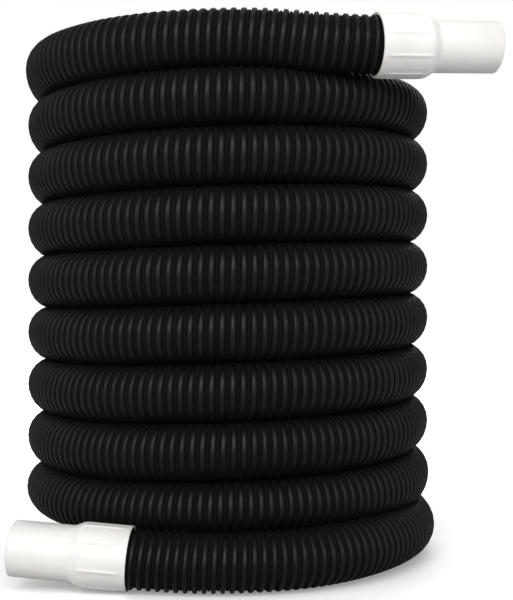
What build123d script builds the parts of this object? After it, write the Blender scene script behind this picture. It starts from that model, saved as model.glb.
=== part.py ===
from build123d import *
from math import cos, pi, radians, sin, tan
import os

# Swimming-pool vacuum hose, nominal 38 mm bore by 30 ft, stored as a standing coil.
#
# Frame: millimetres, +Z up. The origin is on the floor, under the middle of the whole hose. The coil's
# own axis is vertical and stands at COIL_X, COIL_Y, because the cuffs and the last turn reach past the
# coil. Angles round the coil start at its front (-Y) and grow towards its left (-X).

# Hose
HOSE_R = 23.0
BORE_R = 19.0
COIL_X = -20.3
COIL_Y = 13.4
COIL_R = 157.6
PITCH = 45.86
TOP_STRAND_Z = 426.2

# Where the hose leaves the coil: the upper tail near the front, the lower tail at the right
UPPER_SEAM = 5.0
LOWER_SEAM = 270.0
TURNS_LONG_SIDE = 9
TURNS_SHORT_SIDE = 8
SECTION_STEP = 10.0

# How far each turn has dropped, in pitches, at these angles from the front
DROP = (
    (0, 0.0),
    (45, 0.085),
    (90, 0.10),
    (135, 0.45),
    (170, 0.76),
    (195, 0.79),
    (270, 0.79),
    (315, 0.89),
    (360, 1.0),
)

# Swivel cuff, on the upper tail. Its mouth, where the hose enters, is placed from the coil's axis, and
# lengths run along the cuff from that mouth.
SWIVEL_MOUTH = (118.3, -150.0, 420.9)
SWIVEL_HEADING = 12.0
SWIVEL_RISE = 2.0
SWIVEL_BARREL_R = 25.8
SWIVEL_BARREL = 40.5
SWIVEL_LENGTH = 100.5
SWIVEL_RIB_COUNT = 9
SWIVEL_RIB_TURN = 0.0
CHAMBER_R = 24.5
CHAMBER = 37.0
SEAL_SEAT_R = 22.6
SEAL_SEAT = 43.5
RING_LENGTH = 3.0
RING_BORE_R = 23.3
SLEEVE_R = 24.2
SLEEVE_BORE_R = 23.1
SLEEVE_END = 36.7
NOSE_R = 22.2
NOSE_END = 41.5
SEAL_R = 22.5
SEAL_BORE_R = 19.6
AXIAL_GAP = 0.3

# Fixed cuff, on the lower tail
FIXED_MOUTH = (-69.5, -180.2, 25.2)
FIXED_HEADING = 3.6
FIXED_RISE = 4.4
FIXED_BARREL_R = 24.7
FIXED_BARREL = 37.0
FIXED_LENGTH = 91.0
FIXED_RIB_COUNT = 8
FIXED_RIB_TURN = -15.0

# Both cuffs
SPIGOT_R = 21.2
SPIGOT_BORE_R = 19.2
SOCKET = 34.0
CONE = 7.0
RIM_ROUND = 0.8
TIP_ROUND = 1.6
TIP_DRAW_IN = 1.0
RIB_WIDTH = 1.8
RIB_HEIGHT = 0.5
RIB_START = 5.5

# Routes of the two tails: how far the first and last bends are from the seams and the cuffs' mouths, and
# the bends between, placed from the coil's axis
UPPER_TAIL_FROM_SEAM = 48.0
UPPER_TAIL_FROM_MOUTH = 24.0
LOWER_TAIL_FROM_SEAM = 54.0
LOWER_TAIL_FROM_MOUTH = 26.0
LOWER_TAIL = (
    (140.0, -104.5, 25.6),
    (104.5, -149.0, 25.2),
    (60.0, -176.5, 24.2),
    (7.0, -185.5, 23.6),
)
# Each arc takes this share of the shorter run beside it
ARC_SHARE = 0.45

os.makedirs("parts", exist_ok=True)


def dropped(angle):
    """How far a turn has dropped at an angle, in pitches, on a smooth curve through DROP."""
    turns, rest = divmod(angle, 360)
    stations = [(DROP[-2][0] - 360, DROP[-2][1] - 1), *DROP, (DROP[1][0] + 360, DROP[1][1] + 1)]
    i = max(n for n in range(1, len(stations) - 2) if stations[n][0] <= rest)
    (a0, d0), (a1, d1), (a2, d2), (a3, d3) = stations[i - 1 : i + 3]
    span = a2 - a1
    into = (rest - a1) / span
    slope1 = (d2 - d0) / (a2 - a0) * span
    slope2 = (d3 - d1) / (a3 - a1) * span
    rise = d1 * (2 * into**3 - 3 * into**2 + 1) + d2 * (3 * into**2 - 2 * into**3)
    return turns + rise + slope1 * (into**3 - 2 * into**2 + into) + slope2 * (into**3 - into**2)


def on_coil(angle):
    """The centre of the hose at an angle from the front of the uppermost turn."""
    x = COIL_X - COIL_R * sin(radians(angle))
    y = COIL_Y - COIL_R * cos(radians(angle))
    return Vector(x, y, TOP_STRAND_Z - PITCH * dropped(angle))


def along(angle):
    """The direction in which the turns run at an angle, towards the lower end of the hose."""
    return Vector(-cos(radians(angle)), sin(radians(angle)), 0)


def pointing(heading, rise, side):
    """A cuff's outward direction: side is 1 to the right and -1 to the left."""
    level = cos(radians(rise))
    return Vector(side * cos(radians(heading)) * level, sin(radians(heading)) * level, sin(radians(rise)))


def bend_radii(points):
    """The radius of the arc at each inner point of a route, as large as its two runs allow."""
    radii = []
    for before, here, after in zip(points, points[1:], points[2:]):
        run_in = here - before
        run_out = after - here
        half_turn = radians(run_in.get_angle(run_out)) / 2
        radii.append(ARC_SHARE * min(run_in.length, run_out.length) / tan(half_turn))
    return radii


def square_to(points):
    """The plane square to the start of a route."""
    return Plane(origin=points[0], z_dir=points[1] - points[0])


def print_tube(points, path, tube):
    """The radii and length of a tube's path, and its volume against its section times that length."""
    length = path.wires()[0].length
    section = pi * (HOSE_R**2 - BORE_R**2)
    print(tube.part.label, "bend radii", [round(r) for r in bend_radii(points)], "length", round(length, 1))
    print("volume over section times length", round(tube.part.volume / (section * length), 4))


def profile_plane(mouth, axis):
    """A plane through a cuff's axis: local x is the radius, upwards, and local y runs along the cuff."""
    upward = (Vector(0, 0, 1) - axis * axis.Z).normalized()
    return Plane(origin=mouth, x_dir=upward, z_dir=upward.cross(axis))


def across_plane(mouth, axis, distance):
    """The plane square to a cuff's axis at a distance from its mouth."""
    upward = (Vector(0, 0, 1) - axis * axis.Z).normalized()
    return Plane(origin=mouth + axis * distance, x_dir=upward, z_dir=axis)


def outer_profile(barrel_r, barrel, length):
    """The outline that both cuffs share, from the rim of the mouth to the tip of the spigot."""
    return [
        (barrel_r - RIM_ROUND, 0),
        (barrel_r, RIM_ROUND),
        (barrel_r, barrel),
        (SPIGOT_R, barrel + CONE),
        (SPIGOT_R, length - TIP_ROUND),
        (SPIGOT_R - TIP_DRAW_IN, length),
        (SPIGOT_BORE_R, length),
    ]


coil_axis = Vector(COIL_X, COIL_Y, 0)

# The last run of each route goes down the socket of its cuff
swivel_axis = pointing(SWIVEL_HEADING, SWIVEL_RISE, 1)
swivel_mouth = coil_axis + Vector(*SWIVEL_MOUTH)
upper_start = on_coil(UPPER_SEAM)
upper_route = [
    upper_start,
    upper_start - along(UPPER_SEAM) * UPPER_TAIL_FROM_SEAM,
    swivel_mouth - swivel_axis * UPPER_TAIL_FROM_MOUTH,
    swivel_mouth + swivel_axis * SOCKET,
]

fixed_axis = pointing(FIXED_HEADING, FIXED_RISE, -1)
fixed_mouth = coil_axis + Vector(*FIXED_MOUTH)
lower_start = on_coil(LOWER_SEAM + 360 * TURNS_SHORT_SIDE)
lower_route = [
    lower_start,
    lower_start + along(LOWER_SEAM) * LOWER_TAIL_FROM_SEAM,
    *[coil_axis + Vector(*point) for point in LOWER_TAIL],
    fixed_mouth - fixed_axis * LOWER_TAIL_FROM_MOUTH,
    fixed_mouth + fixed_axis * SOCKET,
]

# The coiled turns as one closed solid: a wall of touching turns, one hose thick, whose top and bottom
# follow the turns down. The short side, between the seams, holds one turn fewer.
with BuildPart() as hose_coil:
    for first, last, turns in (
        (UPPER_SEAM, LOWER_SEAM, TURNS_LONG_SIDE),
        (LOWER_SEAM, UPPER_SEAM + 360, TURNS_SHORT_SIDE),
    ):
        steps = round((last - first) / SECTION_STEP)
        sections = []
        for n in range(steps + 1):
            angle = first + (last - first) * n / steps
            middle = on_coil(angle) - Vector(0, 0, PITCH * (turns - 1) / 2)
            outward = Vector(-sin(radians(angle)), -cos(radians(angle)), 0)
            with BuildSketch(Plane(origin=middle, x_dir=outward, z_dir=along(angle))) as section:
                SlotOverall(PITCH * (turns - 1) + 2 * HOSE_R, 2 * HOSE_R, rotation=90)
            sections.append(section.sketch.faces()[0])
        loft(sections=sections, ruled=True)
hose_coil.part.label = "hose_coil"
export_step(hose_coil.part, "parts/hose_coil.step")

# The free stretch from the top of the coil to the swivel cuff: a plain tube on straight runs joined by
# tangent arcs
with BuildPart() as upper_hose_tail:
    with BuildLine() as upper_path:
        FilletPolyline(*upper_route, radius=bend_radii(upper_route))
    with BuildSketch(square_to(upper_route)):
        Circle(HOSE_R)
        Circle(BORE_R, mode=Mode.SUBTRACT)
    sweep(path=upper_path.wires()[0])
upper_hose_tail.part.label = "upper_hose_tail"
print_tube(upper_route, upper_path, upper_hose_tail)
export_step(upper_hose_tail.part, "parts/upper_hose_tail.step")

# The free stretch from the foot of the coil, along the floor, to the fixed cuff
with BuildPart() as lower_hose_tail:
    with BuildLine() as lower_path:
        FilletPolyline(*lower_route, radius=bend_radii(lower_route))
    with BuildSketch(square_to(lower_route)):
        Circle(HOSE_R)
        Circle(BORE_R, mode=Mode.SUBTRACT)
    sweep(path=lower_path.wires()[0])
lower_hose_tail.part.label = "lower_hose_tail"
print_tube(lower_route, lower_path, lower_hose_tail)
export_step(lower_hose_tail.part, "parts/lower_hose_tail.step")

# Fixed cuff: one moulding, screwed and glued on the hose
with BuildPart() as fixed_cuff:
    with BuildSketch(profile_plane(fixed_mouth, fixed_axis)):
        with BuildLine():
            Polyline(
                *outer_profile(FIXED_BARREL_R, FIXED_BARREL, FIXED_LENGTH),
                (SPIGOT_BORE_R, SOCKET),
                (SLEEVE_BORE_R, SOCKET),
                (SLEEVE_BORE_R, 0),
                close=True,
            )
        make_face()
    revolve(axis=Axis(fixed_mouth, fixed_axis))
    with BuildSketch(across_plane(fixed_mouth, fixed_axis, RIB_START)):
        with PolarLocations(FIXED_BARREL_R, FIXED_RIB_COUNT, start_angle=FIXED_RIB_TURN):
            Rectangle(2 * RIB_HEIGHT, RIB_WIDTH)
    extrude(amount=FIXED_BARREL - RIB_START)
fixed_cuff.part.label = "fixed_cuff"
export_step(fixed_cuff.part, "parts/fixed_cuff.step")

# Swivel cuff body: turns on the sleeve, and takes the vacuum head or skimmer fitting in its bore
with BuildPart() as swivel_cuff_body:
    with BuildSketch(profile_plane(swivel_mouth, swivel_axis)):
        with BuildLine():
            Polyline(
                *outer_profile(SWIVEL_BARREL_R, SWIVEL_BARREL, SWIVEL_LENGTH),
                (SPIGOT_BORE_R, SEAL_SEAT),
                (SEAL_SEAT_R, SEAL_SEAT),
                (SEAL_SEAT_R, CHAMBER),
                (CHAMBER_R, CHAMBER),
                (CHAMBER_R, 0),
                close=True,
            )
        make_face()
    revolve(axis=Axis(swivel_mouth, swivel_axis))
    with BuildSketch(across_plane(swivel_mouth, swivel_axis, RIB_START)):
        with PolarLocations(SWIVEL_BARREL_R, SWIVEL_RIB_COUNT, start_angle=SWIVEL_RIB_TURN):
            Rectangle(2 * RIB_HEIGHT, RIB_WIDTH)
    extrude(amount=SWIVEL_BARREL - RIB_START)
swivel_cuff_body.part.label = "swivel_cuff_body"
export_step(swivel_cuff_body.part, "parts/swivel_cuff_body.step")

# Threaded sleeve: screwed and glued on the hose, with a nose that runs in the body's seal seat
with BuildPart() as swivel_sleeve:
    with BuildSketch(profile_plane(swivel_mouth, swivel_axis)):
        with BuildLine():
            Polyline(
                (SLEEVE_BORE_R, RING_LENGTH + AXIAL_GAP),
                (SLEEVE_R, RING_LENGTH + AXIAL_GAP),
                (SLEEVE_R, SLEEVE_END),
                (NOSE_R, SLEEVE_END),
                (NOSE_R, NOSE_END),
                (SPIGOT_BORE_R, NOSE_END),
                (SPIGOT_BORE_R, SOCKET),
                (SLEEVE_BORE_R, SOCKET),
                close=True,
            )
        make_face()
    revolve(axis=Axis(swivel_mouth, swivel_axis))
swivel_sleeve.part.label = "swivel_sleeve"
export_step(swivel_sleeve.part, "parts/swivel_sleeve.step")

# Retaining ring: pressed into the body's mouth behind the sleeve, so that the cuff can't pull off
with BuildPart() as swivel_retaining_ring:
    with BuildSketch(across_plane(swivel_mouth, swivel_axis, 0)):
        Circle(CHAMBER_R)
        Circle(RING_BORE_R, mode=Mode.SUBTRACT)
    extrude(amount=RING_LENGTH)
swivel_retaining_ring.part.label = "swivel_retaining_ring"
export_step(swivel_retaining_ring.part, "parts/swivel_retaining_ring.step")

# Seal: a flat rubber ring at the bottom of the body's seat, against which the sleeve's nose turns
with BuildPart() as swivel_seal:
    with BuildSketch(across_plane(swivel_mouth, swivel_axis, NOSE_END + AXIAL_GAP)):
        Circle(SEAL_R)
        Circle(SEAL_BORE_R, mode=Mode.SUBTRACT)
    extrude(amount=SEAL_SEAT - NOSE_END - AXIAL_GAP)
swivel_seal.part.label = "swivel_seal"
export_step(swivel_seal.part, "parts/swivel_seal.step")
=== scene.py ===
"""Pool vacuum hose: a standing coil of ribbed black hose with a swivel cuff above and a fixed cuff below.

Everything is in metres, in the frame of the CAD model. Angles round the coil start at its front (-Y) and
grow towards its left (-X), and a cuff's own lengths run along its axis from the mouth the hose enters.
"""
from math import acos, cos, pi, radians, sin, tan

import bpy
import numpy as np
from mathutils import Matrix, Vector


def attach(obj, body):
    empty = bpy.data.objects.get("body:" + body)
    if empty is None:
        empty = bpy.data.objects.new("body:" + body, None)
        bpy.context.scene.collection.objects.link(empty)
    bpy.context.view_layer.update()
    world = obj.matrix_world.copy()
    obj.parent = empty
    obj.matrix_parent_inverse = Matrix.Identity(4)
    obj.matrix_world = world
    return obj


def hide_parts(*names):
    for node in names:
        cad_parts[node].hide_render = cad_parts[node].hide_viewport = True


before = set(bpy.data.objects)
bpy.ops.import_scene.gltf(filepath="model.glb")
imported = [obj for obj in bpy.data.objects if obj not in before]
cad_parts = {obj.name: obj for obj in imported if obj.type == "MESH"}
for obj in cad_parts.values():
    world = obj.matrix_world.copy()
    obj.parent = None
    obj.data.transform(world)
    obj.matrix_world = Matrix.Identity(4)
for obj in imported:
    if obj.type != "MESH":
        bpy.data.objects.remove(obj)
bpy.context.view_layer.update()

# The hose, as the CAD model has it
BORE_R = 0.019
COIL_X = -0.0203
COIL_Y = 0.0134
COIL_R = 0.1576
PITCH = 0.04586
TOP_STRAND_Z = 0.4262
UPPER_SEAM = 5
LOWER_SEAM = 270
DROP = (
    (0, 0.0),
    (45, 0.085),
    (90, 0.10),
    (135, 0.45),
    (170, 0.76),
    (195, 0.79),
    (270, 0.79),
    (315, 0.89),
    (360, 1.0),
)
TURNS_TO_LOWER_SEAM = 8

# Where the two cuffs lie: the middle of the mouth from the coil's axis, and the way each points
SWIVEL_MOUTH = (0.1183, -0.150, 0.4209)
SWIVEL_HEADING, SWIVEL_RISE = 12.0, 2.0
FIXED_MOUTH = (-0.0695, -0.1802, 0.0252)
FIXED_HEADING, FIXED_RISE = 3.6, 4.4
SOCKET = 0.034

# The route's points that aren't coiled, from the coil's axis
LOWER_TAIL = (
    (0.1590, -0.0540, 0.0252),
    (0.1400, -0.1045, 0.0256),
    (0.1045, -0.1490, 0.0252),
    (0.0600, -0.1765, 0.0242),
    (0.0070, -0.1855, 0.0236),
)
UPPER_TAIL_FROM_SEAM = 0.048
UPPER_TAIL_FROM_MOUTH = 0.024
LOWER_TAIL_FROM_MOUTH = 0.026
POINTS_PER_TURN = 24
CURVE_STEPS = 6

# Where the turns stray from the even coil: the angle from the first turn's front, outwards, and upwards
STRAY = (
    (0, -0.0040, -0.0008),
    (45, 0.0002, 0.0020),
    (90, 0.0028, 0.0044),
    (140, 0.0015, 0.0020),
    (200, 0.0, 0.0),
    (2600, 0.0, 0.0),
    (2800, 0.0010, 0.0),
    (3060, 0.0008, 0.0004),
    (3150, 0.0030, 0.0024),
)

# The wall of the hose: one flat-topped bead, wound left-handed, with a groove on each side and a land
# between, stretched most at the top
RIB_PITCH_TOP = 0.00780
RIB_PITCH_FOOT = 0.00680
LAND_R = 0.02125
# Across one rib pitch: how far along it, in pitches, and how far above the land's middle
RIB_PROFILE = (
    (0.00, 0.00010),
    (0.12, -0.00015),
    (0.18, -0.00140),
    (0.24, 0.00020),
    (0.30, 0.00140),
    (0.39, 0.00172),
    (0.50, 0.00175),
    (0.61, 0.00172),
    (0.70, 0.00140),
    (0.76, 0.00020),
    (0.82, -0.00140),
    (0.88, -0.00015),
)
RIB_TOP = 0.00175
# How far a turn's underside settles into the turn below it, and where along the hose that fades in and,
# in turns, out
SETTLED = 0.0028
SETTLED_FROM, SETTLED_OVER = 0.045, 0.05
SETTLED_TURNS, SETTLED_TURNS_OVER = 8.15, 0.15
# How much further the first turn settles, between these distances, where it stands a little off the second
FIRST_TURN_SETTLED = 0.0024
FIRST_TURN_FROM, FIRST_TURN_FROM_OVER = 0.15, 0.08
FIRST_TURN_TO, FIRST_TURN_TO_OVER = 0.75, 0.10
# How much further the last coiled turn settles, where the lower tail splays out from under it
LAST_TURN_SETTLED = 0.0012
LAST_TURN, LAST_TURN_OVER = 7.6, 0.15
# The hose's mesh: points round it, and the spacing of the rings of its bore
SEGMENTS = 24
INNER_STEP = 0.020

# The cuffs, along their axes and across
SPIGOT_R = 0.0212
SPIGOT_BORE_R = 0.0192
CONE = 0.007
SWIVEL_BARREL_R, SWIVEL_BARREL, SWIVEL_LENGTH = 0.0258, 0.0405, 0.1005
FIXED_BARREL_R, FIXED_BARREL, FIXED_LENGTH = 0.0247, 0.037, 0.091
CHAMBER_R, CHAMBER = 0.0245, 0.037
SEAL_SEAT_R, SEAL_SEAT = 0.0226, 0.0435
RING_BORE_R, RING_LENGTH = 0.0233, 0.003
SLEEVE_R, SLEEVE_BORE_R, SLEEVE_END = 0.0242, 0.0231, 0.0367
NOSE_R, NOSE_END = 0.0222, 0.0415
SEAL_R, SEAL_BORE_R = 0.0225, 0.0196
GAP = 0.0003
SWIVEL_RIBS, SWIVEL_RIB_TURN = 9, 0
FIXED_RIBS, FIXED_RIB_TURN = 8, -15
# A grip rib: its height and half width, with its foot, its flank and the meshed strip as shares of that
# half width, then where it starts and how it fades in and out along the barrel. Points of an outline
# within BARREL_SKIN of the barrel's radius belong to the outside.
RIB_HEIGHT = 0.0005
RIB_HALF_WIDTH = 0.0009
RIB_FOOT = 1.5
RIB_FLANK = 0.9
RIB_MESH_WIDTH = 1.6
RIB_MESH_POINTS = 9
RIB_START = 0.0055
RIB_RISES_BEFORE, RIB_RISES_OVER = 0.0008, 0.0016
RIB_ENDS_PAST, RIB_ENDS_OVER = 0.0010, 0.0050
BARREL_SKIN = 0.0010

# Roundings of the cuffs' edges, and the spacing of the points on their outlines
RIM_ROUND = 0.0007
SHOULDER_ROUND = 0.0100
NECK_ROUND = 0.0080
TIP_ROUND = 0.0013
EDGE_ROUND = 0.0005
SMALL_ROUND = 0.0004
CORNER_ROUND = 0.0003
SHARP_ROUND = 0.0002
ARC_STEPS = 5
ARC_STEPS_WIDE = 3
OUTLINE_STEP = 0.0025
SMALL_OUTLINE_STEP = 0.004
SMALL_PIECE_POINTS = 96

coil_axis = Vector((COIL_X, COIL_Y, 0))


# ---------------------------------------------------------------- where things lie


def dropped(angle):
    """How far a turn has dropped at an angle, in pitches, on a smooth curve through DROP."""
    turns, rest = divmod(angle, 360)
    stations = [(DROP[-2][0] - 360, DROP[-2][1] - 1), *DROP, (DROP[1][0] + 360, DROP[1][1] + 1)]
    i = max(n for n in range(1, len(stations) - 2) if stations[n][0] <= rest)
    (a0, d0), (a1, d1), (a2, d2), (a3, d3) = stations[i - 1 : i + 3]
    span = a2 - a1
    into = (rest - a1) / span
    slope1 = (d2 - d0) / (a2 - a0) * span
    slope2 = (d3 - d1) / (a3 - a1) * span
    rise = d1 * (2 * into**3 - 3 * into**2 + 1) + d2 * (3 * into**2 - 2 * into**3)
    return turns + rise + slope1 * (into**3 - 2 * into**2 + into) + slope2 * (into**3 - into**2)


def on_coil(angle, widened=1.0):
    """The centre of the hose at an angle from the front of its uppermost turn."""
    angles, outwards, upwards = zip(*STRAY)
    radius = (COIL_R + np.interp(angle, angles, outwards)) * widened
    height = TOP_STRAND_Z - PITCH * dropped(angle) + np.interp(angle, angles, upwards)
    return coil_axis + Vector((-radius * sin(radians(angle)), -radius * cos(radians(angle)), height))


def along(angle):
    """The way the turns run at an angle, towards the lower end of the hose."""
    return Vector((-cos(radians(angle)), sin(radians(angle)), 0))


def pointing(heading, rise, side):
    """A cuff's outward direction: side is 1 to the right and -1 to the left."""
    level = cos(radians(rise))
    return Vector((side * cos(radians(heading)) * level, sin(radians(heading)) * level, sin(radians(rise))))


swivel_mouth = coil_axis + Vector(SWIVEL_MOUTH)
swivel_axis = pointing(SWIVEL_HEADING, SWIVEL_RISE, 1)
fixed_mouth = coil_axis + Vector(FIXED_MOUTH)
fixed_axis = pointing(FIXED_HEADING, FIXED_RISE, -1)


def hose_route():
    """The route's points, from the swivel cuff's socket down the coil to the fixed cuff's socket."""
    last = LOWER_SEAM + 360 * TURNS_TO_LOWER_SEAM
    step = 360 / POINTS_PER_TURN
    # A quadratic spline runs inside its points by this share of the radius
    widened = 1 / (0.75 + 0.25 * cos(radians(step)))
    upper = [
        swivel_mouth + swivel_axis * SOCKET,
        swivel_mouth - swivel_axis * UPPER_TAIL_FROM_MOUTH,
        on_coil(UPPER_SEAM) - along(UPPER_SEAM) * UPPER_TAIL_FROM_SEAM,
    ]
    steps = round((last - UPPER_SEAM) / step)
    coiled = [on_coil(UPPER_SEAM + (last - UPPER_SEAM) * n / steps, widened) for n in range(steps + 1)]
    lower = [coil_axis + Vector(p) for p in LOWER_TAIL]
    lower += [fixed_mouth - fixed_axis * LOWER_TAIL_FROM_MOUTH, fixed_mouth + fixed_axis * SOCKET]
    return upper + coiled + lower


def smooth_line(points):
    """Points along a NURBS curve that has these as its control points."""
    curve = bpy.data.curves.new("route", "CURVE")
    curve.dimensions = "3D"
    curve.resolution_u = CURVE_STEPS
    spline = curve.splines.new("NURBS")
    spline.points.add(len(points) - 1)
    for point, at in zip(spline.points, points):
        point.co = (*at, 1)
    spline.order_u = 3
    spline.use_endpoint_u = True
    holder = bpy.data.objects.new("route", curve)
    bpy.context.scene.collection.objects.link(holder)
    bpy.context.view_layer.update()
    line = bpy.data.meshes.new_from_object(holder)
    path = np.array([v.co[:] for v in line.vertices])
    bpy.data.objects.remove(holder)
    bpy.data.curves.remove(curve)
    bpy.data.meshes.remove(line)
    return path


# ---------------------------------------------------------------- the hose


class Line:
    """A smooth line with its distance along it, and a frame that keeps one direction upwards."""

    def __init__(self, path):
        steps = np.linalg.norm(np.diff(path, axis=0), axis=1)
        self.path = path
        self.at = np.concatenate([[0], np.cumsum(steps)])
        self.length = self.at[-1]
        tangents = np.gradient(path, self.at, axis=0)
        self.tangents = tangents / np.linalg.norm(tangents, axis=1)[:, None]

    def frames(self, distances):
        """Positions, upward directions and sideways directions at distances along the line."""
        place = np.stack([np.interp(distances, self.at, self.path[:, k]) for k in range(3)], axis=-1)
        ahead = np.stack([np.interp(distances, self.at, self.tangents[:, k]) for k in range(3)], axis=-1)
        ahead /= np.linalg.norm(ahead, axis=-1)[..., None]
        up = np.array([0, 0, 1.0]) - ahead * ahead[..., 2:3]
        up /= np.linalg.norm(up, axis=-1)[..., None]
        return place, up, np.cross(ahead, up)


def rib_height(phase):
    """How far the outside stands above the land's middle at a phase of the rib's spiral."""
    where = [u for u, _ in RIB_PROFILE] + [1.0]
    height = [h for _, h in RIB_PROFILE] + [RIB_PROFILE[0][1]]
    return np.interp(np.mod(phase, 1.0), where, height)


def smooth_step(value):
    """0 below 0, 1 above 1, and a smooth rise between."""
    value = np.clip(value, 0, 1)
    return value * value * (3 - 2 * value)


def hose_mesh(line):
    """The hose as a closed tube. The outside's grid follows the rib's left-handed spiral, so that the
    bead runs along its edges, and its two ends are cut square and joined to a smooth bore."""
    per_pitch = len(RIB_PROFILE)
    around = np.arange(SEGMENTS) / SEGMENTS
    shrink = (RIB_PITCH_FOOT - RIB_PITCH_TOP) / line.length
    pitches = int(np.ceil(np.log1p(shrink * line.length / RIB_PITCH_TOP) / shrink)) + 2
    phases = np.concatenate([n + np.array([u for u, _ in RIB_PROFILE]) for n in range(pitches)])
    distance = RIB_PITCH_TOP * np.expm1(shrink * (phases[:, None] - around[None, :])) / shrink
    cut = np.clip(distance, 0, line.length)
    place, up, side = line.frames(cut)
    height = rib_height(np.log1p(shrink * cut / RIB_PITCH_TOP) / shrink + around[None, :])
    turn = 2 * pi * around[None, :, None]
    outward = np.cos(turn) * up + np.sin(turn) * side
    one_turn = 2 * pi * COIL_R
    on_another = smooth_step((cut - SETTLED_FROM) / SETTLED_OVER)
    on_another *= smooth_step((one_turn * SETTLED_TURNS - cut) / SETTLED_TURNS_OVER)
    raised = smooth_step((cut - FIRST_TURN_FROM) / FIRST_TURN_FROM_OVER)
    raised *= smooth_step((FIRST_TURN_TO - cut) / FIRST_TURN_TO_OVER)
    splayed = smooth_step((cut - one_turn * LAST_TURN) / LAST_TURN_OVER)
    swell = (SETTLED + FIRST_TURN_SETTLED * raised + LAST_TURN_SETTLED * splayed) * on_another
    settled = swell * np.clip(-np.cos(turn[..., 0]), 0, 1) ** 2
    outside = place + outward * (LAND_R + height + settled)[..., None]

    # Where the spiral starts before the hose does, or runs past its end, rows share the end's points
    number = np.arange(distance.size).reshape(distance.shape)
    for k in range(SEGMENTS):
        before = np.flatnonzero(distance[:, k] <= 0)
        after = np.flatnonzero(distance[:, k] >= line.length)
        number[before, k] = number[before[-1], k] if len(before) else number[0, k]
        number[after, k] = number[after[0], k]
    wrapped = np.concatenate([np.repeat(number[:1, :1], per_pitch, axis=0), number[:-per_pitch, :1]])
    columns = np.concatenate([number, wrapped], axis=1)
    quads = np.stack([columns[:-1, :-1], columns[:-1, 1:], columns[1:, 1:], columns[1:, :-1]], axis=-1)
    quads = quads.reshape(-1, 4)

    rings = int(np.ceil(line.length / INNER_STEP)) + 1
    along_bore = np.linspace(0, line.length, rings)[:, None] * np.ones((1, SEGMENTS))
    place, up, side = line.frames(along_bore)
    inside = place + (np.cos(turn) * up + np.sin(turn) * side) * BORE_R
    bore = distance.size + np.arange(inside.shape[0] * SEGMENTS).reshape(-1, SEGMENTS)
    closed = np.concatenate([bore, bore[:, :1]], axis=1)
    inner = np.stack([closed[:-1, :-1], closed[1:, :-1], closed[1:, 1:], closed[:-1, 1:]], axis=-1)
    ends = []
    for k in range(SEGMENTS):
        m = (k + 1) % SEGMENTS
        first = [number[0, m], number[0, k], bore[0, k], bore[0, m]]
        final = [number[-1, k], number[-1, m], bore[-1, m], bore[-1, k]]
        ends += [first, final]

    points = np.concatenate([outside.reshape(-1, 3), inside.reshape(-1, 3)])
    faces = np.concatenate([quads, inner.reshape(-1, 4), np.array(ends)])
    shade = np.concatenate([height.reshape(-1) / RIB_TOP, np.zeros(inside.shape[0] * SEGMENTS)])
    return tidy_mesh("hose", points, faces, shade)


def tidy_mesh(name, points, faces, shade):
    """A smooth mesh without repeated corners or unused points, with shade as its rib attribute."""
    corners = [list(dict.fromkeys(face)) for face in faces.tolist()]
    corners = [face for face in corners if len(face) > 2]
    used = np.unique(np.concatenate(corners))
    renumber = np.full(len(points), -1)
    renumber[used] = np.arange(len(used))
    mesh = bpy.data.meshes.new(name)
    mesh.from_pydata(points[used].tolist(), [], [[int(renumber[c]) for c in face] for face in corners])
    mesh.polygons.foreach_set("use_smooth", np.ones(len(mesh.polygons), dtype=bool))
    rib = mesh.attributes.new("rib", "FLOAT", "POINT")
    rib.data.foreach_set("value", shade[used].astype(np.float32))
    mesh.validate()
    mesh.update()
    return mesh


def piece(name, mesh, body, *replaced):
    """A new piece that rides on a body and stands for CAD nodes."""
    made = bpy.data.objects.new(name, mesh)
    bpy.context.scene.collection.objects.link(made)
    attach(made, body)
    if replaced:
        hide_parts(*replaced)
    return made


# ---------------------------------------------------------------- turned pieces


def rounded(corners):
    """A closed outline of (distance, radius, rounding) corners as points, each corner an arc."""
    points = []
    count = len(corners)
    for n, (x, r, rounding) in enumerate(corners):
        here = np.array([x, r])
        before = np.array(corners[n - 1][:2]) - here
        after = np.array(corners[(n + 1) % count][:2]) - here
        if rounding == 0:
            points.append(here)
            continue
        before /= np.linalg.norm(before)
        after /= np.linalg.norm(after)
        half = acos(np.clip(before @ after, -1, 1)) / 2
        centre = here + (before + after) / np.linalg.norm(before + after) * rounding / sin(half)
        start = here + before * rounding / tan(half)
        finish = here + after * rounding / tan(half)
        steps = ARC_STEPS_WIDE if half > pi / 3 else ARC_STEPS
        for k in range(steps + 1):
            chord = start + (finish - start) * k / steps - centre
            points.append(centre + chord / np.linalg.norm(chord) * rounding)
    return points


def subdivided(points, spacing):
    """The same outline with extra points, so that none are further apart than spacing."""
    result = []
    for here, after in zip(points, [*points[1:], points[0]]):
        pieces = max(1, int(np.ceil(np.linalg.norm(after - here) / spacing)))
        result += [here + (after - here) * k / pieces for k in range(pieces)]
    return result


def rib_angles(radius, ribs, turned_by):
    """Angles round a cuff: close together across each grip rib, and even between ribs."""
    half = RIB_HALF_WIDTH * RIB_MESH_WIDTH / radius
    across = np.linspace(-half, half, RIB_MESH_POINTS)
    between = np.linspace(half, 2 * pi / ribs - half, RIB_MESH_POINTS)[1:-1]
    one = np.concatenate([across, between]) + radians(turned_by)
    return np.concatenate([one + 2 * pi * k / ribs for k in range(ribs)])


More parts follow.
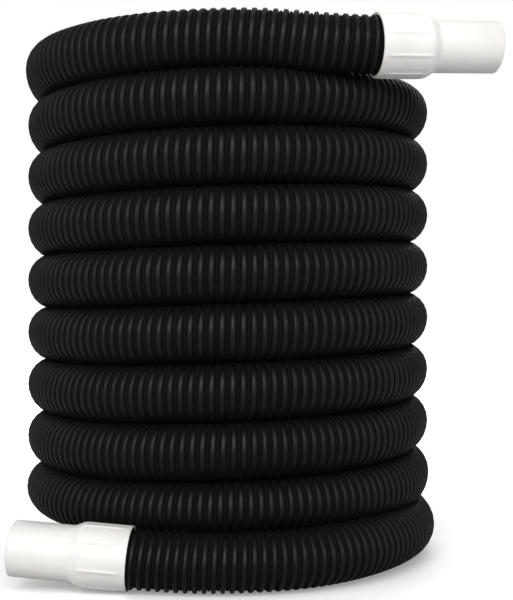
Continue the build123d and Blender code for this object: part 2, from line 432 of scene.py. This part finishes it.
def turned(name, mouth, axis, outline, angles, swell=None):
    """A ring-shaped mesh: a closed outline of (distance, radius) points turned about a cuff's axis."""
    upward = (Vector((0, 0, 1)) - axis * axis.z).normalized()
    sideways = axis.cross(upward)
    outline = np.array(outline)
    points, faces = [], []
    for a in angles:
        outward = np.array(upward) * cos(a) + np.array(sideways) * sin(a)
        radius = outline[:, 1] + (swell(outline, a) if swell else 0)
        points.append(np.array(mouth) + outline[:, :1] * np.array(axis) + radius[:, None] * outward)
    rows, columns = len(angles), len(outline)
    for i in range(rows):
        for j in range(columns):
            k, m = (i + 1) % rows, (j + 1) % columns
            faces.append([i * columns + j, k * columns + j, k * columns + m, i * columns + m])
    mesh = bpy.data.meshes.new(name)
    mesh.from_pydata(np.concatenate(points).tolist(), [], faces)
    mesh.polygons.foreach_set("use_smooth", np.ones(len(faces), dtype=bool))
    mesh.validate()
    mesh.update()
    return mesh


def grip_ribs(barrel_r, barrel, ribs, turned_by):
    """How far the barrel's grip ribs stand out of an outline at an angle."""

    def swell(outline, a):
        turn = 2 * pi / ribs
        off = abs((a - radians(turned_by) + turn / 2) % turn - turn / 2) * barrel_r
        across = smooth_step((RIB_HALF_WIDTH * RIB_FOOT - off) / (RIB_HALF_WIDTH * RIB_FLANK))
        s = outline[:, 0]
        starts = np.clip((s - RIB_START + RIB_RISES_BEFORE) / RIB_RISES_OVER, 0, 1)
        ends = np.clip((barrel + RIB_ENDS_PAST - s) / RIB_ENDS_OVER, 0, 1)
        outside = outline[:, 1] > barrel_r - BARREL_SKIN
        return RIB_HEIGHT * across * np.minimum(starts, ends) * outside

    return swell


def cuff_outline(barrel_r, barrel, length, inside):
    """A cuff's outline, from the rim of its mouth out to the spigot's tip and back along the inside."""
    outer = [
        (0, barrel_r, RIM_ROUND),
        (barrel, barrel_r, SHOULDER_ROUND),
        (barrel + CONE, SPIGOT_R, NECK_ROUND),
        (length, SPIGOT_R, TIP_ROUND),
        (length, SPIGOT_BORE_R, SMALL_ROUND),
    ]
    return subdivided(rounded(outer + inside), OUTLINE_STEP)


# ---------------------------------------------------------------- materials

# Black plastic: its two shades, its roughness between the beads and on them, how much that varies, and
# its reflectance
BLACK_DEEP = (0.0026, 0.0026, 0.0028)
BLACK_DUSTY = (0.0048, 0.0048, 0.0052)
GROOVE_ROUGHNESS, BEAD_ROUGHNESS = 0.94, 0.40
BLACK_UNEVEN = (-0.05, 0.06)
BLACK_SPECULAR = 0.44
# White plastic: its two shades, its roughness, and how much light spreads in it and how far
WHITE_SHADED = (0.78, 0.775, 0.755)
WHITE_CLEAN = (0.84, 0.838, 0.82)
WHITE_ROUGHNESS = (0.34, 0.46)
WHITE_SPREAD = 0.25
WHITE_SPREAD_RADIUS = (0.012, 0.011, 0.010)
# Rubber: its two shades and its roughness
RUBBER_DARK = (0.010, 0.010, 0.010)
RUBBER_WORN = (0.022, 0.021, 0.020)
RUBBER_ROUGHNESS = (0.62, 0.80)
# Where a noise's values lie, low and high
NOISE_LOW, NOISE_HIGH = 0.30, 0.72
NOISE_MIDDLE = (0.3, 0.7)
# The floor as the camera sees it, its painted glow (emission that brightens it with distance), and what it
# throws back
FLOOR_GREY = (0.86, 0.86, 0.86)
FLOOR_PALE = (0.88, 0.88, 0.88)
FLOOR_ROUGHNESS = 0.7
FLOOR_SPECULAR = 0.1
FLOOR_GLOW_NEAR, FLOOR_GLOW_FAR = 0.30, 1.0
FLOOR_GLOW_FROM, FLOOR_GLOW_TO = 0.20, 1.3
FLOOR_BOUNCE = (0.62, 0.62, 0.62, 1)
PURE_WHITE = (1, 1, 1, 1)


class Nodes:
    """A new material's node tree, with short ways to add to it."""

    def __init__(self, name):
        self.material = bpy.data.materials.new(name)
        self.material.use_nodes = True
        self.tree = self.material.node_tree
        self.shader = self.tree.nodes["Principled BSDF"]

    def add(self, kind, **inputs):
        node = self.tree.nodes.new(kind)
        for name, value in inputs.items():
            self.give(node.inputs[name.replace("_", " ")], value)
        return node

    def give(self, socket, value):
        if isinstance(value, bpy.types.NodeSocket):
            self.tree.links.new(value, socket)
        else:
            socket.default_value = value

    def noise(self, scale, detail, roughness=0.5):
        place = self.add("ShaderNodeTexCoord")
        made = self.add("ShaderNodeTexNoise", Scale=scale, Detail=detail, Roughness=roughness)
        self.tree.links.new(place.outputs["Object"], made.inputs["Vector"])
        return made.outputs["Fac"]

    def between(self, value, low, high, from_low=0.0, from_high=1.0):
        node = self.tree.nodes.new("ShaderNodeMapRange")
        for number, given in enumerate((value, from_low, from_high, low, high)):
            self.give(node.inputs[number], given)
        return node.outputs[0]

    def colours(self, value, stops):
        node = self.tree.nodes.new("ShaderNodeValToRGB")
        self.tree.links.new(value, node.inputs["Fac"])
        ramp = node.color_ramp
        while len(ramp.elements) < len(stops):
            ramp.elements.new(0.5)
        for element, (at, colour) in zip(ramp.elements, stops):
            element.position = at
            element.color = (*colour, 1)
        return node.outputs["Color"]

    def bump(self, height, distance, strength=1.0):
        node = self.add("ShaderNodeBump", Distance=distance, Strength=strength)
        self.tree.links.new(height, node.inputs["Height"])
        self.tree.links.new(node.outputs["Normal"], self.shader.inputs["Normal"])


def hose_black():
    """Soft black polyethylene: satin beads, dull and matt between them."""
    made = Nodes("hose_black")
    rib = made.tree.nodes.new("ShaderNodeAttribute")
    rib.attribute_name = "rib"
    patches = made.noise(28.0, 4.0)
    grain = made.noise(900.0, 3.0)
    colour = made.colours(patches, ((NOISE_LOW, BLACK_DEEP), (NOISE_HIGH, BLACK_DUSTY)))
    made.tree.links.new(colour, made.shader.inputs["Base Color"])
    smoother = made.between(rib.outputs["Fac"], GROOVE_ROUGHNESS, BEAD_ROUGHNESS)
    uneven = made.between(patches, *BLACK_UNEVEN, *NOISE_MIDDLE)
    total = made.tree.nodes.new("ShaderNodeMath")
    made.tree.links.new(smoother, total.inputs[0])
    made.tree.links.new(uneven, total.inputs[1])
    made.tree.links.new(total.outputs[0], made.shader.inputs["Roughness"])
    made.bump(grain, 0.00012, 0.25)
    made.shader.inputs["Specular IOR Level"].default_value = BLACK_SPECULAR
    return made.material


def cuff_white():
    """Off-white moulded plastic with a satin skin and faint flow marks."""
    made = Nodes("cuff_white")
    flow = made.noise(18.0, 3.0)
    grain = made.noise(1400.0, 2.0)
    colour = made.colours(flow, ((NOISE_LOW, WHITE_SHADED), (NOISE_HIGH, WHITE_CLEAN)))
    made.tree.links.new(colour, made.shader.inputs["Base Color"])
    roughness = made.between(flow, *WHITE_ROUGHNESS, *NOISE_MIDDLE)
    made.tree.links.new(roughness, made.shader.inputs["Roughness"])
    made.bump(grain, 0.00006, 0.2)
    made.shader.inputs["Subsurface Weight"].default_value = WHITE_SPREAD
    made.shader.inputs["Subsurface Radius"].default_value = WHITE_SPREAD_RADIUS
    return made.material


def seal_rubber():
    """Matt dark rubber."""
    made = Nodes("seal_rubber")
    mottle = made.noise(160.0, 4.0)
    grain = made.noise(2200.0, 2.0)
    colour = made.colours(mottle, ((NOISE_LOW, RUBBER_DARK), (0.75, RUBBER_WORN)))
    made.tree.links.new(colour, made.shader.inputs["Base Color"])
    roughness = made.between(mottle, *RUBBER_ROUGHNESS, *NOISE_MIDDLE)
    made.tree.links.new(roughness, made.shader.inputs["Roughness"])
    made.bump(grain, 0.00010, 0.35)
    return made.material


def floor_pale():
    """A pale studio floor with a painted glow that brightens it into the white surround, and throws less
    light back up.
    """
    made = Nodes("floor_pale")
    clouds = made.noise(1.3, 2.0)
    colour = made.colours(clouds, ((0.3, FLOOR_GREY), (0.7, FLOOR_PALE)))
    made.tree.links.new(colour, made.shader.inputs["Base Color"])
    made.shader.inputs["Roughness"].default_value = FLOOR_ROUGHNESS
    made.shader.inputs["Specular IOR Level"].default_value = FLOOR_SPECULAR
    place = made.add("ShaderNodeTexCoord")
    away = made.tree.nodes.new("ShaderNodeVectorMath")
    away.operation = "LENGTH"
    made.tree.links.new(place.outputs["Object"], away.inputs[0])
    # Painted glow: emission that grows with distance from the floor's middle, so the floor turns white away
    # from the coil
    glow = made.between(
        away.outputs["Value"], FLOOR_GLOW_NEAR, FLOOR_GLOW_FAR, FLOOR_GLOW_FROM, FLOOR_GLOW_TO
    )
    made.tree.links.new(glow, made.shader.inputs["Emission Strength"])
    made.shader.inputs["Emission Color"].default_value = PURE_WHITE
    dim = made.add("ShaderNodeBsdfDiffuse", Color=FLOOR_BOUNCE)
    ray = made.tree.nodes.new("ShaderNodeLightPath")
    either = made.tree.nodes.new("ShaderNodeMixShader")
    made.tree.links.new(ray.outputs["Is Camera Ray"], either.inputs[0])
    made.tree.links.new(dim.outputs[0], either.inputs[1])
    made.tree.links.new(made.shader.outputs[0], either.inputs[2])
    made.tree.links.new(either.outputs[0], made.tree.nodes["Material Output"].inputs["Surface"])
    return made.material


# ---------------------------------------------------------------- the hose and the cuffs

line = Line(smooth_line(hose_route()))
hose = piece("hose", hose_mesh(line), "hose", "hose_coil", "upper_hose_tail", "lower_hose_tail")
hose.data.materials.append(hose_black())

white = cuff_white()
rubber = seal_rubber()

fixed_inside = [
    (SOCKET, SPIGOT_BORE_R, CORNER_ROUND),
    (SOCKET, SLEEVE_BORE_R, CORNER_ROUND),
    (0, SLEEVE_BORE_R, EDGE_ROUND),
]
swivel_inside = [
    (SEAL_SEAT, SPIGOT_BORE_R, CORNER_ROUND),
    (SEAL_SEAT, SEAL_SEAT_R, CORNER_ROUND),
    (CHAMBER, SEAL_SEAT_R, CORNER_ROUND),
    (CHAMBER, CHAMBER_R, CORNER_ROUND),
    (0, CHAMBER_R, SMALL_ROUND),
]
sleeve_corners = [
    (RING_LENGTH + GAP, SLEEVE_R, CORNER_ROUND),
    (SLEEVE_END, SLEEVE_R, CORNER_ROUND),
    (SLEEVE_END, NOSE_R, SHARP_ROUND),
    (NOSE_END, NOSE_R, EDGE_ROUND),
    (NOSE_END, SPIGOT_BORE_R, EDGE_ROUND),
    (SOCKET, SPIGOT_BORE_R, CORNER_ROUND),
    (SOCKET, SLEEVE_BORE_R, SHARP_ROUND),
    (RING_LENGTH + GAP, SLEEVE_BORE_R, SHARP_ROUND),
]
ring_corners = [
    (0, CHAMBER_R, SHARP_ROUND),
    (RING_LENGTH, CHAMBER_R, SHARP_ROUND),
    (RING_LENGTH, RING_BORE_R, SHARP_ROUND),
    (0, RING_BORE_R, EDGE_ROUND),
]
seal_corners = [
    (NOSE_END + GAP, SEAL_R, SHARP_ROUND),
    (SEAL_SEAT, SEAL_R, SHARP_ROUND),
    (SEAL_SEAT, SEAL_BORE_R, CORNER_ROUND),
    (NOSE_END + GAP, SEAL_BORE_R, CORNER_ROUND),
]
even = np.arange(SMALL_PIECE_POINTS) * 2 * pi / SMALL_PIECE_POINTS


def plastic(name, mouth, axis, outline, angles, body, material, swell=None):
    """A turned piece of its own CAD node's name, in one material."""
    made = piece(name + "_shape", turned(name, mouth, axis, outline, angles, swell), body, name)
    made.data.materials.append(material)
    return made


fixed_cuff = plastic(
    "fixed_cuff",
    fixed_mouth,
    fixed_axis,
    cuff_outline(FIXED_BARREL_R, FIXED_BARREL, FIXED_LENGTH, fixed_inside),
    rib_angles(FIXED_BARREL_R, FIXED_RIBS, FIXED_RIB_TURN),
    "hose",
    white,
    grip_ribs(FIXED_BARREL_R, FIXED_BARREL, FIXED_RIBS, FIXED_RIB_TURN),
)
swivel_cuff_body = plastic(
    "swivel_cuff_body",
    swivel_mouth,
    swivel_axis,
    cuff_outline(SWIVEL_BARREL_R, SWIVEL_BARREL, SWIVEL_LENGTH, swivel_inside),
    rib_angles(SWIVEL_BARREL_R, SWIVEL_RIBS, SWIVEL_RIB_TURN),
    "swivel_cuff",
    white,
    grip_ribs(SWIVEL_BARREL_R, SWIVEL_BARREL, SWIVEL_RIBS, SWIVEL_RIB_TURN),
)
small = [
    ("swivel_sleeve", sleeve_corners, "hose", white),
    ("swivel_retaining_ring", ring_corners, "swivel_cuff", white),
    ("swivel_seal", seal_corners, "swivel_cuff", rubber),
]
for name, corners, body, material in small:
    outline = subdivided(rounded(corners), SMALL_OUTLINE_STEP)
    plastic(name, swivel_mouth, swivel_axis, outline, even, body, material)

# ---------------------------------------------------------------- floor, light and camera

FLOOR_R = 12
FLOOR_CORNERS = 64
# The surround's brightness as it lights the hose, and as the camera sees it
SURROUND_LIGHT, SURROUND_SEEN = 0.30, 1.0

floor_mesh = bpy.data.meshes.new("floor")
turns = [2 * pi * k / FLOOR_CORNERS for k in range(FLOOR_CORNERS)]
rim = [(FLOOR_R * cos(turn), FLOOR_R * sin(turn), 0) for turn in turns]
floor_mesh.from_pydata(rim, [], [list(range(FLOOR_CORNERS))])
floor = bpy.data.objects.new("floor", floor_mesh)
bpy.context.scene.collection.objects.link(floor)
floor_mesh.materials.append(floor_pale())

world = bpy.data.worlds.new("surround")
bpy.context.scene.world = world
world.use_nodes = True
surround = world.node_tree
background = surround.nodes["Background"]
background.inputs["Color"].default_value = PURE_WHITE
background.inputs["Strength"].default_value = SURROUND_LIGHT
seen = surround.nodes.new("ShaderNodeBackground")
seen.inputs["Color"].default_value = PURE_WHITE
seen.inputs["Strength"].default_value = SURROUND_SEEN
ray = surround.nodes.new("ShaderNodeLightPath")
either = surround.nodes.new("ShaderNodeMixShader")
surround.links.new(ray.outputs["Is Camera Ray"], either.inputs[0])
surround.links.new(background.outputs[0], either.inputs[1])
surround.links.new(seen.outputs[0], either.inputs[2])
surround.links.new(either.outputs[0], surround.nodes["World Output"].inputs["Surface"])


def softbox(name, at, target, width, height, power):
    """A soft rectangular light that the camera doesn't see."""
    light = bpy.data.lights.new(name, "AREA")
    light.shape = "RECTANGLE"
    light.size, light.size_y = width, height
    light.energy = power
    made = bpy.data.objects.new(name, light)
    bpy.context.scene.collection.objects.link(made)
    made.location = at
    made.rotation_mode = "QUATERNION"
    made.rotation_quaternion = (Vector(target) - Vector(at)).to_track_quat("-Z", "Y")
    made.visible_camera = False


softbox("key", (-0.3, -2.3, 1.45), (0, 0, 0.25), 2.4, 2.2, 54)
softbox("top", (0.0, 0.3, 3.0), (0, 0, 0.1), 3.0, 2.4, 14)
softbox("back", (0.3, 2.6, 1.6), (0, 0, 0.22), 2.4, 1.4, 40)
softbox("left", (-2.4, -1.4, 1.0), (0, 0, 0.22), 1.2, 1.4, 14)
softbox("right", (2.4, -1.4, 1.0), (0, 0, 0.22), 1.2, 1.4, 14)

# The camera stands level in front of the coil, a little to its right
SENSOR_WIDTH, FOCAL_LENGTH = 36, 66.12
CAMERA_RIGHT, CAMERA_AWAY, CAMERA_HEIGHT = 0.0256, 1.014, 0.221

lens = bpy.data.cameras.new("camera")
lens.sensor_width = SENSOR_WIDTH
lens.lens = FOCAL_LENGTH
camera = bpy.data.objects.new("camera", lens)
bpy.context.scene.collection.objects.link(camera)
camera.location = (COIL_X + CAMERA_RIGHT, COIL_Y - CAMERA_AWAY, CAMERA_HEIGHT)
camera.rotation_euler = (pi / 2, 0, 0)
bpy.context.scene.camera = camera
bpy.context.scene.view_settings.view_transform = "Standard"
bpy.context.scene.view_settings.gamma = 0.8
